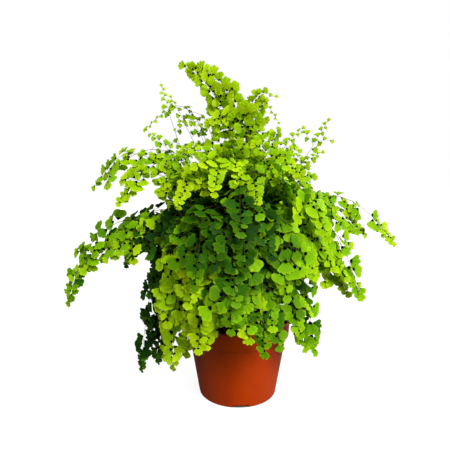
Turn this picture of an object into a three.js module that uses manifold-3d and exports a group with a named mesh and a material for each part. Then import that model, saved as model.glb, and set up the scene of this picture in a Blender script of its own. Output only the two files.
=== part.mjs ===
// A maidenhair fern in a plastic nursery pot. Millimetres, +Z up, the front is -Y.
// The origin is the middle of the pot's foot, on the surface that the pot stands on.
// Each frond is one grown body: a wiry stalk, side pinnae and fan-shaped leaflets.

import * as THREE from 'three';
import { mergeVertices } from 'three/addons/utils/BufferGeometryUtils.js';
import Module from 'manifold-3d';

const wasm = await Module();
wasm.setup();

// ---- driving dimensions ----

const SIDES = 40;                  // facets round the pot, and half as many round the soil

const POT_HEIGHT = 89;
const RIM_RADIUS = 60;
const FOOT_RADIUS = 44.5;
const FOOT_BEVEL = 0.9;
const COLLAR_START = 70;           // height of the collar's lower edge
const COLLAR_FOOT_RADIUS = 58.8;
const COLLAR_SLOPE = 0.5;          // rise of the collar's underside
const COLLAR_FLOOR = 2.4;          // thickness of the wall's step below the collar
const WALL_TOP_RADIUS = 56;        // outside of the wall where the collar starts
const RIM_BEVEL_WIDTH = 0.6;
const RIM_BEVEL_HEIGHT = 1.2;
const WALL = 1.7;
const POT_FLOOR = 2.4;
const NOTCHES = 4;                 // drain notches cut through the foot's corner
const NOTCH_WIDTH = 17.5;
const NOTCH_HEIGHT = 3.2;
const NOTCH_DEPTH = 10;
const NOTCH_TURN = -85;            // direction of the first notch, in degrees from +X

const GAP = 0.35;                  // kept between two solids that touch
const MERGE_WITHIN = 1e-4;         // corners closer than this are one
const SOIL_EDGE = 78;              // height of the soil at the pot's wall
const SOIL_CROWN = 82;             // and in the middle, where the stalks stand
const SOIL_STEP = 3;               // above the collar's lower edge the soil is wider

const BURIED = 18;                 // length of a stalk below the soil's surface
const HOLE_RADIUS = 2.5;           // to the corners of its three sides
const STALK_STEPS = 4;             // along the bare part of a stalk
const STALK_REST = 0.3;            // of a step, between the last of them and the first pinna
const STALK_FOOT = 0.75;           // half the thickness of a stalk in the soil
const STALK_END = 0.55;            // and where its end pinna starts
const ARCH_PLACE = 0.6;            // where on its curve a stalk has the height of its arch
const RISE_OUT = 0.1;              // the curve's first control point, as shares of the way
const RISE_UP = 0.72;              // out to the tip and of the way up to the second
const BEND_OUT = 0.6;              // the second control point's share of the way out,
const HANG_OUT = 0.3;              // and how much more it has where the tip hangs
const HANG_SPAN = 150;             // a tip this far below its arch hangs straight down

const BARE = 0.44;                 // share of a stalk below its first side pinna
const LEAFY = 0.96;                // share of it below the last
const PINNA_LEAN = 58;             // degrees between a side pinna and its stalk
const PINNA_TAPER = 0.35;          // by which the last side pinna is shorter than the first
const PINNA_SAG = 0.2;             // by which a side pinna's end hangs, as a share of its length

const BLADE = 0.375;               // half the thickness of leaflets and ribs
const RIB = 0.6;                   // half the width of a pinna's rib
const LEAFLET = 17.5;              // length of a full-grown leaflet
const LEAFLET_SPREAD = 0.08;       // by which leaflets differ in length
const LEAFLET_TAPER = 0.4;         // by which the last on a rib is smaller than the first
const LEAFLET_LEAN = 1.12;         // radians between the first leaflet and its rib,
const LEAN_TAPER = 0.35;           // and how much less it is at the rib's end
const TILT_DOWN = 0.3;             // most that a leaflet's outer edge lies below its neck,
const TILT_UP = 0.12;              // or above it, as shares of its length
const SPACING = 1.1;               // step between leaflets, in leaflet lengths
const FIRST_LEAFLET = 0.5;         // from a rib's start, in leaflet lengths
const LAST_LEAFLET = 0.35;         // from its end
const EDGE_STEP = 0.001;           // tells the two sides of a leaflet's neck apart
const CLEARANCE = 0.25;            // kept round every blade
const FREE_START = 2.2;            // where a pinna is clear of the stalk that carries it

// A leaflet's outer corners, as shares of its length out from its neck and ahead.
const SIDE_LEAFLET = [[0.6, -0.5], [0.96, -0.22], [0.84, 0.08], [0.92, 0.46]];
const END_LEAFLET = [[0.62, 0.46], [0.94, 0.26], [0.82, -0.04], [0.88, -0.42]];

// What is tried to keep a pinna clear of the others: its share of its full length, a roll
// about its stalk and a swing towards its stalk, both in degrees.
const SHARES = [1, 0.8, 0.6, 0.4];
const ROLLS = [0, 20, -20, 40, -40, 60, -60];
const SWINGS = [0, 12, -12, 24, -24];

const SEED_STEP = 100;             // between the seeds of two fronds
const END_SEED = 7;
const SIDE_SEED = 11;

const UP = new THREE.Vector3(0, 0, 1);
const FRONT = new THREE.Vector3(0, -1, 0.25).normalize();

// Each frond: the radius at which it leaves the soil, its tip, the height of its arch halfway
// out, how far its upper face turns from the sky (0) to the front (1) or the back (-1), the
// number of side pinnae, the length of the longest, and the size of its leaflets. Where it has
// aside, its bend lies that far to the right (or left) of the straight way out to the tip.
const FRONDS = [
  // the tall crown
  { root: 3, tip: [-53, -22, 362], mid: 326, aside: 16, face: 0.8, pinnae: 5, reach: 46, size: 1 },
  { root: 8, tip: [-88, 30, 350], mid: 232, face: 0.3, pinnae: 4, reach: 36, size: 0.5 },
  { root: 12, tip: [-102, 12, 300], mid: 250, face: 0.4, pinnae: 2, reach: 34, size: 0.6 },
  { root: 6, tip: [26, -14, 327], mid: 270, aside: -24, face: 0.8, pinnae: 3, reach: 38, size: 0.9 },
  { root: 11, tip: [100, 20, 310], mid: 235, face: 0.4, pinnae: 4, reach: 38, size: 0.55 },
  { root: 16, tip: [98, 44, 276], mid: 242, face: 0.4, pinnae: 3, reach: 38, size: 0.65 },
  { root: 13, tip: [74, -20, 256], mid: 240, face: 0.6, pinnae: 3, reach: 42, size: 0.85 },
  { root: 9, tip: [40, -24, 296], mid: 254, face: 0.6, pinnae: 3, reach: 40, size: 0.8 },
  // the left side
  { root: 15, tip: [-160, 0, 240], mid: 268, aside: -7, face: 0.6, pinnae: 5, reach: 42, size: 0.9 },
  { root: 18, tip: [-124, -30, 225], mid: 246, face: 0.6, pinnae: 3, reach: 42, size: 0.9 },
  { root: 21, tip: [-190, -18, 112], mid: 202, face: 0.6, pinnae: 5, reach: 40, size: 1 },
  { root: 25, tip: [-105, -42, 46], mid: 198, aside: 18, face: 0.3, pinnae: 4, reach: 42, size: 1 },
  { root: 22, tip: [-142, 42, 128], mid: 204, aside: 24, face: 0.4, pinnae: 3, reach: 44, size: 1 },
  // the front
  { root: 24, tip: [-64, -86, 64], mid: 194, face: 0.2, pinnae: 4, reach: 42, size: 1 },
  { root: 26, tip: [-36, -108, 98], mid: 188, face: 0.2, pinnae: 3, reach: 40, size: 1 },
  { root: 14, tip: [-57, -68, 226], mid: 256, face: 0.4, pinnae: 4, reach: 44, size: 1 },
  { root: 10, tip: [-22, -80, 240], mid: 268, face: 0.4, pinnae: 4, reach: 44, size: 1 },
  { root: 13, tip: [17, -86, 226], mid: 256, face: 0.4, pinnae: 4, reach: 44, size: 1 },
  { root: 18, tip: [52, -74, 228], mid: 252, face: 0.4, pinnae: 4, reach: 44, size: 1 },
  { root: 17, tip: [-38, -112, 160], mid: 224, face: 0.2, pinnae: 4, reach: 46, size: 1 },
  { root: 19, tip: [6, -118, 178], mid: 226, face: 0.2, pinnae: 4, reach: 46, size: 1 },
  { root: 22, tip: [44, -106, 150], mid: 220, face: 0.2, pinnae: 4, reach: 46, size: 1 },
  { root: 25, tip: [-6, -124, 124], mid: 202, face: 0.2, pinnae: 3, reach: 44, size: 1 },
  { root: 27, tip: [24, -112, 98], mid: 190, face: 0.2, pinnae: 3, reach: 42, size: 1 },
  // the right side
  { root: 26, tip: [82, -52, 64], mid: 190, aside: -18, face: 0.3, pinnae: 4, reach: 44, size: 1 },
  { root: 21, tip: [131, -36, 122], mid: 214, aside: -24, face: 0.6, pinnae: 5, reach: 46, size: 1 },
  { root: 17, tip: [172, -4, 178], mid: 227, aside: -27, face: 0.6, pinnae: 5, reach: 42, size: 0.9 },
  { root: 22, tip: [86, -64, 196], mid: 236, face: 0.4, pinnae: 4, reach: 44, size: 1 },
  { root: 24, tip: [128, 46, 120], mid: 200, aside: -16, face: 0.4, pinnae: 3, reach: 44, size: 1 },
  // the back
  { root: 15, tip: [52, 88, 226], mid: 256, face: -0.3, pinnae: 4, reach: 44, size: 1 },
  { root: 10, tip: [-26, 80, 252], mid: 270, face: -0.3, pinnae: 4, reach: 42, size: 0.9 },
  { root: 20, tip: [92, 92, 144], mid: 216, face: -0.2, pinnae: 4, reach: 44, size: 1 },
  { root: 25, tip: [40, 118, 86], mid: 192, face: -0.2, pinnae: 3, reach: 44, size: 1 },
  { root: 18, tip: [0, 128, 160], mid: 226, face: -0.3, pinnae: 4, reach: 44, size: 1 },
  { root: 25, tip: [-46, 112, 80], mid: 194, face: -0.2, pinnae: 3, reach: 44, size: 1 },
  { root: 19, tip: [-86, 94, 150], mid: 220, face: -0.2, pinnae: 4, reach: 44, size: 1 },
  { root: 16, tip: [-80, 62, 226], mid: 254, face: -0.2, pinnae: 3, reach: 42, size: 0.9 },
];

// ---- solids ----

function toSolid(geometry) {
  const bare = geometry.index ? geometry.clone() : geometry;
  bare.deleteAttribute('normal');
  bare.deleteAttribute('uv');
  const merged = mergeVertices(bare, MERGE_WITHIN);
  return new wasm.Manifold(new wasm.Mesh({
    numProp: 3,
    vertProperties: new Float32Array(merged.attributes.position.array),
    triVerts: new Uint32Array(merged.index.array),
  }));
}

function toGeometry(solid) {
  const mesh = solid.getMesh();
  const geometry = new THREE.BufferGeometry();
  geometry.setAttribute('position', new THREE.BufferAttribute(mesh.vertProperties, 3));
  geometry.setIndex(new THREE.BufferAttribute(mesh.triVerts, 1));
  geometry.computeVertexNormals();
  return geometry;
}

function turned(profile, sides) {
  const points = profile.map(([radius, height]) => new THREE.Vector2(radius, height));
  const geometry = new THREE.LatheGeometry(points, sides);
  geometry.rotateX(Math.PI / 2);
  return toSolid(geometry);
}

function tube(curve, radius, sides, steps) {
  const section = new THREE.Shape();
  for (let side = 0; side < sides; side += 1) {
    const angle = (side / sides) * Math.PI * 2;
    const x = radius * Math.cos(angle);
    const y = radius * Math.sin(angle);
    if (side === 0) section.moveTo(x, y);
    else section.lineTo(x, y);
  }
  section.closePath();
  return toSolid(new THREE.ExtrudeGeometry(section, { steps, extrudePath: curve }));
}

// ---- pot ----

function wallRadius(height) {
  return FOOT_RADIUS + (WALL_TOP_RADIUS - FOOT_RADIUS) * (height / COLLAR_START);
}

function buildPot() {
  let pot = turned([
    [0, 0],
    [FOOT_RADIUS - FOOT_BEVEL, 0],
    [FOOT_RADIUS, FOOT_BEVEL],
    [WALL_TOP_RADIUS, COLLAR_START],
    [COLLAR_FOOT_RADIUS, COLLAR_START + COLLAR_SLOPE],
    [RIM_RADIUS, POT_HEIGHT - RIM_BEVEL_HEIGHT],
    [RIM_RADIUS - RIM_BEVEL_WIDTH, POT_HEIGHT],
    [RIM_RADIUS - WALL, POT_HEIGHT],
    [COLLAR_FOOT_RADIUS - WALL, COLLAR_START + COLLAR_FLOOR],
    [wallRadius(COLLAR_START) - WALL, COLLAR_START],
    [wallRadius(POT_FLOOR) - WALL, POT_FLOOR],
    [0, POT_FLOOR],
  ], SIDES);
  for (let index = 0; index < NOTCHES; index += 1) {
    const cutter = new THREE.BoxGeometry(NOTCH_DEPTH, NOTCH_WIDTH, NOTCH_HEIGHT * 2);
    cutter.translate(FOOT_RADIUS, 0, 0);
    cutter.rotateZ(THREE.MathUtils.degToRad(NOTCH_TURN + (index * 360) / NOTCHES));
    pot = pot.subtract(toSolid(cutter));
  }
  return pot;
}

// ---- soil ----

function buildSoil(stalks) {
  const inside = WALL + GAP;
  let soil = turned([
    [0, POT_FLOOR + GAP],
    [wallRadius(POT_FLOOR) - inside, POT_FLOOR + GAP],
    [wallRadius(COLLAR_START) - inside, COLLAR_START],
    [COLLAR_FOOT_RADIUS - inside, COLLAR_START + SOIL_STEP],
    [COLLAR_FOOT_RADIUS - inside, SOIL_EDGE],
    [0, SOIL_CROWN],
  ], SIDES / 2);
  for (const stalk of stalks) {
    const foot = stalk.curve.getPointAt(0);
    const direction = stalk.curve.getPointAt(stalk.places[1] / stalk.length).sub(foot).normalize();
    const bottom = foot.clone().addScaledVector(direction, -GAP);
    const top = foot.clone().addScaledVector(direction, BURIED * 2);
    soil = soil.subtract(tube(new THREE.LineCurve3(bottom, top), HOLE_RADIUS, 3, 1));
  }
  return soil;
}

// ---- fronds ----

// A small repeatable source of random numbers from 0 to 1.
function seeded(seed) {
  let state = seed >>> 0;
  return () => {
    state = (Math.imul(state, 1664525) + 1013904223) >>> 0;
    return state / 4294967296;
  };
}

// A stalk rises from the soil, bends over and ends at the frond's tip. The further the tip
// hangs below the arch, the further out the bend lies. The bend's height is solved from the
// cubic's weights, so that the curve has the height frond.mid at ARCH_PLACE.
function stalkCurve(frond) {
  const tip = new THREE.Vector3(...frond.tip);
  const outward = new THREE.Vector3(tip.x, tip.y, 0).normalize();
  const start = outward.clone().multiplyScalar(frond.root);
  const reach = Math.hypot(tip.x, tip.y) - frond.root;
  const hang = THREE.MathUtils.clamp((frond.mid - tip.z) / HANG_SPAN, 0, 1);
  start.z = SOIL_CROWN - BURIED;
  const bend = start.clone().addScaledVector(outward, (BEND_OUT + HANG_OUT * hang) * reach);
  const before = 1 - ARCH_PLACE;
  const riseWeight = 3 * ARCH_PLACE * before ** 2;
  const bendWeight = 3 * ARCH_PLACE ** 2 * before;
  const startShare = before ** 3 + riseWeight * (1 - RISE_UP);
  const bendShare = bendWeight + riseWeight * RISE_UP;
  bend.z = (frond.mid - startShare * start.z - ARCH_PLACE ** 3 * tip.z) / bendShare;
  bend.x += frond.aside ?? 0;
  const rise = start.clone().addScaledVector(outward, RISE_OUT * reach);
  rise.z = start.z + RISE_UP * (bend.z - start.z);
  return new THREE.CubicBezierCurve3(start, rise, bend, tip);
}

// The side of a frond that faces the sky, turned towards the front or the back.
function faceNormal(tangent, frond) {
  const outward = new THREE.Vector3(frond.tip[0], frond.tip[1], 0).normalize();
  const sideways = new THREE.Vector3().crossVectors(UP, outward);
  const upper = new THREE.Vector3().crossVectors(tangent, sideways).normalize();
  const aim = FRONT.clone();
  if (frond.face < 0) aim.y *= -1;
  upper.lerp(aim, Math.abs(frond.face));
  upper.addScaledVector(tangent, -upper.dot(tangent));
  return upper.normalize();
}

// A thin blade in the making. Each point lies on its middle surface and has the lift that
// takes it to the upper face. Both faces share the same triangles.
class Blade {
  constructor() {
    this.points = [];
    this.faces = [];
  }

  addPoint(at, lift) {
    return this.points.push({ at, lift }) - 1;
  }

  addFan(corners) {
    for (let index = 1; index + 1 < corners.length; index += 1) {
      this.faces.push([corners[0], corners[index], corners[index + 1]]);
    }
  }

  // Fills the strip between two edges, whose points are given with their place t along it.
  addStrip(left, right) {
    let leftIndex = 0;
    let rightIndex = 0;
    while (leftIndex + 1 < left.length || rightIndex + 1 < right.length) {
      const from = [left[leftIndex].point, right[rightIndex].point];
      const nextLeft = left[leftIndex + 1];
      const nextRight = right[rightIndex + 1];
      if (!nextRight || (nextLeft && nextLeft.t <= nextRight.t)) {
        this.faces.push([...from, nextLeft.point]);
        leftIndex += 1;
      } else {
        this.faces.push([...from, nextRight.point]);
        rightIndex += 1;
      }
    }
  }

  // Closes the blade with a wall along every edge that only one triangle has.
  toSolid() {
    const count = this.points.length;
    const upper = this.points.flatMap(({ at, lift }) => at.clone().add(lift).toArray());
    const lower = this.points.flatMap(({ at, lift }) => at.clone().sub(lift).toArray());
    const triangles = [];
    const edges = new Set();
    for (const [a, b, c] of this.faces) {
      triangles.push(a, b, c, count + a, count + c, count + b);
      for (const [from, to] of [[a, b], [b, c], [c, a]]) edges.add(`${from},${to}`);
    }
    for (const edge of edges) {
      const [from, to] = edge.split(',').map(Number);
      if (!edges.has(`${to},${from}`)) {
        triangles.push(count + from, count + to, from, from, count + to, to);
      }
    }
    return new wasm.Manifold(new wasm.Mesh({
      numProp: 3,
      vertProperties: new Float32Array([...upper, ...lower]),
      triVerts: new Uint32Array(triangles),
    }));
  }
}

// Grows one pinna on a blade: a rib with fan-shaped leaflets, which stand alternately left and
// right of it, and one more at its end. Each leaflet widens from its neck to a lobed outer edge,
// and tilts a little by itself. A curved rib has a point across from each neck too, so that its
// edges follow the curve. Without a root it starts a bit further out, where it is clear of its
// stalk.
function growPinna(blade, pinna, spare, root) {
  const { rib, face, size } = pinna;
  const random = seeded(pinna.seed);
  const ribLength = rib.getLength();
  const chord = rib.getPoint(1).sub(rib.getPoint(0)).normalize();
  const normal = face.clone().addScaledVector(chord, -face.dot(chord)).normalize();
  const lift = normal.clone().multiplyScalar(BLADE + spare);
  const shrink = (t) => 1 - LEAFLET_TAPER * t;

  // A leaflet at place t of the rib, on its left (1) or right (-1), leaning towards the end.
  const directionsAt = (t) => {
    const heading = rib.getTangentAt(t);
    heading.addScaledVector(normal, -heading.dot(normal)).normalize();
    return { heading, leftward: new THREE.Vector3().crossVectors(normal, heading) };
  };
  const ribPoint = (t, step, edge) => {
    const { heading, leftward } = directionsAt(t);
    const at = rib.getPointAt(t).addScaledVector(heading, step);
    return blade.addPoint(at.addScaledVector(leftward, edge * RIB), lift);
  };
  const startLeaflet = (t, side, lean) => {
    const { heading, leftward } = directionsAt(t);
    const spread = 1 + LEAFLET_SPREAD * (2 * random() - 1);
    const length = LEAFLET * size * shrink(t) * spread;
    const tilt = THREE.MathUtils.lerp(-TILT_DOWN, TILT_UP, random());
    const outward = heading.clone().multiplyScalar(Math.cos(lean))
      .addScaledVector(leftward, side * Math.sin(lean));
    const forward = heading.clone().multiplyScalar(Math.sin(lean))
      .addScaledVector(leftward, -side * Math.cos(lean));
    return ([out, ahead]) => {
      const at = rib.getPointAt(t).addScaledVector(outward, out * length)
        .addScaledVector(forward, ahead * length).addScaledVector(normal, out * length * tilt);
      return blade.addPoint(at, lift);
    };
  };

  const left = [];
  const right = [];
  if (root) {
    left.push({ t: 0, point: root.left });
    right.push({ t: 0, point: root.right });
  } else {
    left.push({ t: 0, point: ribPoint(FREE_START / ribLength, 0, 1) });
    right.push({ t: 0, point: ribPoint(FREE_START / ribLength, 0, -1) });
  }
  const pace = LEAFLET * Math.sqrt(size);
  let travelled = pace * FIRST_LEAFLET;
  let side = pinna.firstSide;
  let leaflets = 1;
  while (travelled < ribLength - pace * LAST_LEAFLET) {
    const t = travelled / ribLength;
    const corner = startLeaflet(t, side, LEAFLET_LEAN - LEAN_TAPER * t);
    const neck = ribPoint(t, -RIB, side);
    const outer = SIDE_LEAFLET.map(corner);
    const corners = [neck, ...outer, ribPoint(t, RIB, side)];
    const [near, far] = side === 1 ? [left, right] : [right, left];
    near.push({ t: t - EDGE_STEP, point: neck });
    near.push({ t: t + EDGE_STEP, point: corners.at(-1) });
    if (!rib.isLineCurve3) far.push({ t, point: ribPoint(t, 0, -side) });
    blade.addFan(side === 1 ? [neck, ...corners.slice(1).reverse()] : corners);
    travelled += pace * SPACING * shrink(t);
    side = -side;
    leaflets += 1;
  }
  const endLeft = ribPoint(1, 0, 1);
  const endRight = ribPoint(1, 0, -1);
  left.push({ t: 1, point: endLeft });
  right.push({ t: 1, point: endRight });
  blade.addFan([endLeft, endRight, ...END_LEAFLET.map(startLeaflet(1, 1, 0))]);
  blade.addStrip(left, right);
  return leaflets;
}

// What stands already, so that the next blade can be bent clear of it.
const standing = [];

function boxesMeet(a, b) {
  return [0, 1, 2].every((axis) => a.min[axis] <= b.max[axis] && b.min[axis] <= a.max[axis]);
}

function isClear(solid) {
  const box = solid.boundingBox();
  return standing.every((other) => !boxesMeet(box, other.box)
    || solid.intersect(other.solid).isEmpty());
}

function stand(solid) {
  standing.push({ solid, box: solid.boundingBox() });
}

// A point on the left (1) or right (-1) edge of a stalk, at a length along it.
function stalkPoint(blade, stalk, length, edge, spare) {
  const t = length / stalk.length;
  const tangent = stalk.curve.getTangentAt(t);
  const normal = faceNormal(tangent, stalk.frond);
  const leftward = new THREE.Vector3().crossVectors(normal, tangent);
  const half = THREE.MathUtils.lerp(STALK_FOOT, STALK_END, t) + spare;
  const at = stalk.curve.getPointAt(t).addScaledVector(leftward, edge * half);
  return blade.addPoint(at, normal.multiplyScalar(half));
}

function startStalk(frond, index) {
  const curve = stalkCurve(frond);
  const length = curve.getLength();
  const pinnaStart = length - frond.reach;
  const places = [];
  for (let step = 0; step <= STALK_STEPS; step += 1) {
    places.push((BARE * pinnaStart * step) / (STALK_STEPS + STALK_REST));
  }
  const stalk = { frond, index, curve, length, places, pinnae: [] };
  for (let number = 0; number < frond.pinnae; number += 1) {
    const place = pinnaStart * THREE.MathUtils.lerp(BARE, LEAFY, number / frond.pinnae);
    stalk.pinnae.push({ place, side: (number + index) % 2 === 0 ? 1 : -1 });
  }
  stalk.end = pinnaStart;
  return stalk;
}

// The stalk alone, to keep the others clear of it.
function bareStalk(stalk) {
  const blade = new Blade();
  const left = [];
  const right = [];
  const places = [...stalk.places, ...stalk.pinnae.map(({ place }) => place), stalk.end];
  for (const place of places) {
    left.push({ t: place, point: stalkPoint(blade, stalk, place, 1, CLEARANCE) });
    right.push({ t: place, point: stalkPoint(blade, stalk, place, -1, CLEARANCE) });
  }
  blade.addStrip(left, right);
  return blade.toSolid();
}

// Tries a pinna straight first, then swung and rolled, then shorter, until it stands clear.
function findRoom(makeRib) {
  for (const share of SHARES) {
    for (const roll of ROLLS) {
      for (const swing of SWINGS) {
        for (const firstSide of [1, -1]) {
          const pinna = { ...makeRib(share, swing, roll), firstSide };
          const blade = new Blade();
          growPinna(blade, pinna, CLEARANCE);
          const solid = blade.toSolid();
          if (isClear(solid)) {
            stand(solid);
            return pinna;
          }
        }
      }
    }
  }
  return null;
}

function placeEndPinna(stalk) {
  const { curve, length, frond } = stalk;
  const from = stalk.end / length;
  const start = curve.getPointAt(from);
  const tangent = curve.getTangentAt(from);
  const normal = faceNormal(tangent, frond);
  stalk.endPinna = findRoom((share, swing, roll) => {
    const face = normal.clone().applyAxisAngle(tangent, THREE.MathUtils.degToRad(roll));
    const middle = curve.getPointAt(from + (1 - from) * share * 0.5);
    const end = curve.getPointAt(from + (1 - from) * share);
    for (const point of [middle, end]) {
      point.sub(start).applyAxisAngle(face, THREE.MathUtils.degToRad(swing)).add(start);
    }
    const control = middle.clone().multiplyScalar(2)
      .addScaledVector(start, -0.5).addScaledVector(end, -0.5);
    const rib = new THREE.QuadraticBezierCurve3(start, control, end);
    return { rib, face, size: frond.size, seed: SEED_STEP * stalk.index + END_SEED };
  });
  if (!stalk.endPinna) console.log(`no room for the end of frond ${stalk.index + 1}`);
}

function placeSidePinna(stalk, number) {
  const { curve, length, frond } = stalk;
  const { place, side } = stalk.pinnae[number];
  const start = curve.getPointAt(place / length);
  const tangent = curve.getTangentAt(place / length);
  const normal = faceNormal(tangent, frond);
  const reach = frond.reach * (1 - (PINNA_TAPER * number) / frond.pinnae);
  const seed = SEED_STEP * stalk.index + SIDE_SEED + number;
  const pinna = findRoom((share, swing, roll) => {
    const face = normal.clone().applyAxisAngle(tangent, THREE.MathUtils.degToRad(side * roll));
    const lateral = new THREE.Vector3().crossVectors(face, tangent);
    const lean = THREE.MathUtils.degToRad(PINNA_LEAN + swing);
    const heading = tangent.clone().multiplyScalar(Math.cos(lean))
      .addScaledVector(lateral, side * Math.sin(lean))
      .addScaledVector(UP, -PINNA_SAG).normalize();
    const end = start.clone().addScaledVector(heading, reach * share);
    return { rib: new THREE.LineCurve3(start, end), face, size: frond.size, seed };
  });
  if (pinna) Object.assign(stalk.pinnae[number], pinna);
  else console.log(`no room for pinna ${number + 1} of frond ${stalk.index + 1}`);
}

// The whole frond as one blade: its stalk is a strip, each side pinna starts from two points
// on the strip's edge, and the end pinna carries the strip on.
function buildFrond(stalk) {
  const blade = new Blade();
  const left = [];
  const right = [];
  for (const place of stalk.places) {
    left.push({ t: place, point: stalkPoint(blade, stalk, place, 1, 0) });
    right.push({ t: place, point: stalkPoint(blade, stalk, place, -1, 0) });
  }
  for (const pinna of stalk.pinnae) {
    if (!pinna.rib) continue;
    const { place, side } = pinna;
    const [near, far] = side === 1 ? [left, right] : [right, left];
    const back = stalkPoint(blade, stalk, place - RIB, side, 0);
    const front = stalkPoint(blade, stalk, place + RIB, side, 0);
    near.push({ t: place - RIB, point: back }, { t: place + RIB, point: front });
    far.push({ t: place, point: stalkPoint(blade, stalk, place, -side, 0) });
    const root = side === 1 ? { left: back, right: front } : { left: front, right: back };
    leafletCount += growPinna(blade, pinna, 0, root);
  }
  const root = {
    left: stalkPoint(blade, stalk, stalk.end, 1, 0),
    right: stalkPoint(blade, stalk, stalk.end, -1, 0),
  };
  left.push({ t: stalk.end, point: root.left });
  right.push({ t: stalk.end, point: root.right });
  blade.addStrip(left, right);
  if (stalk.endPinna) leafletCount += growPinna(blade, stalk.endPinna, 0, root);
  return blade.toSolid();
}

// ---- the whole plant ----

const finishes = {
  pot: new THREE.MeshStandardMaterial({ color: 0x8a2a0a, roughness: 0.35, metalness: 0 }),
  soil: new THREE.MeshStandardMaterial({ color: 0x1c130c, roughness: 0.95, metalness: 0 }),
  frond: new THREE.MeshStandardMaterial({ color: 0x6fa81a, roughness: 0.5, metalness: 0 }),
};

const plant = new THREE.Group();

function addMesh(name, solid, finish) {
  const mesh = new THREE.Mesh(toGeometry(solid), finish);
  mesh.name = name;
  plant.add(mesh);
}

let leafletCount = 0;
const stalks = FRONDS.map(startStalk);
for (const stalk of stalks) {
  const solid = bareStalk(stalk);
  if (!isClear(solid)) console.log(`stalk ${stalk.index + 1} meets another`);
  stand(solid);
}
for (const stalk of stalks) placeEndPinna(stalk);
const mostPinnae = Math.max(...FRONDS.map((frond) => frond.pinnae));
for (let number = 0; number < mostPinnae; number += 1) {
  for (const stalk of stalks) {
    if (number < stalk.frond.pinnae) placeSidePinna(stalk, number);
  }
}

addMesh('pot', buildPot(), finishes.pot);
addMesh('soil', buildSoil(stalks), finishes.soil);
for (const stalk of stalks) {
  const name = `frond_${String(stalk.index + 1).padStart(2, '0')}`;
  addMesh(name, buildFrond(stalk), finishes.frond);
}
console.log(`leaflets ${leafletCount}`);

export default plant;
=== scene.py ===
# A maidenhair fern in a plastic nursery pot. Metres, +Z up, the front is -Y.
# Lengths in the tables and constants are millimetres, as in the part's source.

import math
import random

import bpy
import numpy as np
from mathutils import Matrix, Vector


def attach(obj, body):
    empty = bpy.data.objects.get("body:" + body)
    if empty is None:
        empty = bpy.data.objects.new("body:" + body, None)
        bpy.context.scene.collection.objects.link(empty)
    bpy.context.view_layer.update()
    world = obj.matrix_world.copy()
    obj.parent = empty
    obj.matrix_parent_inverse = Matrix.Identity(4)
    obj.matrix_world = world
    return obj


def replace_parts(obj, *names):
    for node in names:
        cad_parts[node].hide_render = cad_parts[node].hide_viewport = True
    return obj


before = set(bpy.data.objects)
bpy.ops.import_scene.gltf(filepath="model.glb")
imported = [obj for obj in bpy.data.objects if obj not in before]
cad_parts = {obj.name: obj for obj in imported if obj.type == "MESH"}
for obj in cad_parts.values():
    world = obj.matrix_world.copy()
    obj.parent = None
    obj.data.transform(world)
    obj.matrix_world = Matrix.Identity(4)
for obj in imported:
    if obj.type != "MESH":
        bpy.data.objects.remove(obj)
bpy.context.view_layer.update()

MM = 0.001
FULL_TURN = 6.28           # radians, rounded

# ---- the pot and the soil, as in the part's source ----

POT_HEIGHT = 89
RIM_RADIUS = 60
FOOT_RADIUS = 44.5
COLLAR_START = 70          # height of the collar's lower edge
COLLAR_FOOT_RADIUS = 58.8
WALL_TOP_RADIUS = 56       # outside of the wall where the collar starts
WALL = 1.7
POT_FLOOR = 2.4
NOTCHES = 4                # drain notches cut through the foot's corner
NOTCH_WIDTH = 17.5
NOTCH_HEIGHT = 3.2
NOTCH_TURN = -85           # direction of the first notch, in degrees from +X
GAP = 0.35                 # between the soil and the pot
SOIL_EDGE = 78             # height of the soil at the pot's wall
SOIL_CROWN = 82            # and in the middle, where the stalks stand
SOIL_STEP = 3              # from this far above the collar's lower edge the soil is wider
BURIED = 18                # from the soil's middle down to the stalks' feet

# ---- the fronds ----
# A row holds:
#   root    the radius at which the frond leaves the soil
#   tip     where it ends
#   mid     the height of its arch
#   face    how far it turns from the sky (0) to the front (1) or the back (-1)
#   reach   the length of its end pinna
#   size    of its leaflets, where 1 is full-grown
#   light   how light its leaflets are painted, 0 the darkest, 1 the brightest: mostly painted shade and light, partly age
# It may end with:
#   spread  how long the side pinnae are beside the end one
#   bulge   how far the stalk's bend is moved to the right and to the back
#   end     how much of the end pinna has leaflets
#   seed    another draw for the frond
# Root, tip, mid and bulge are as in the part's source.

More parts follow.
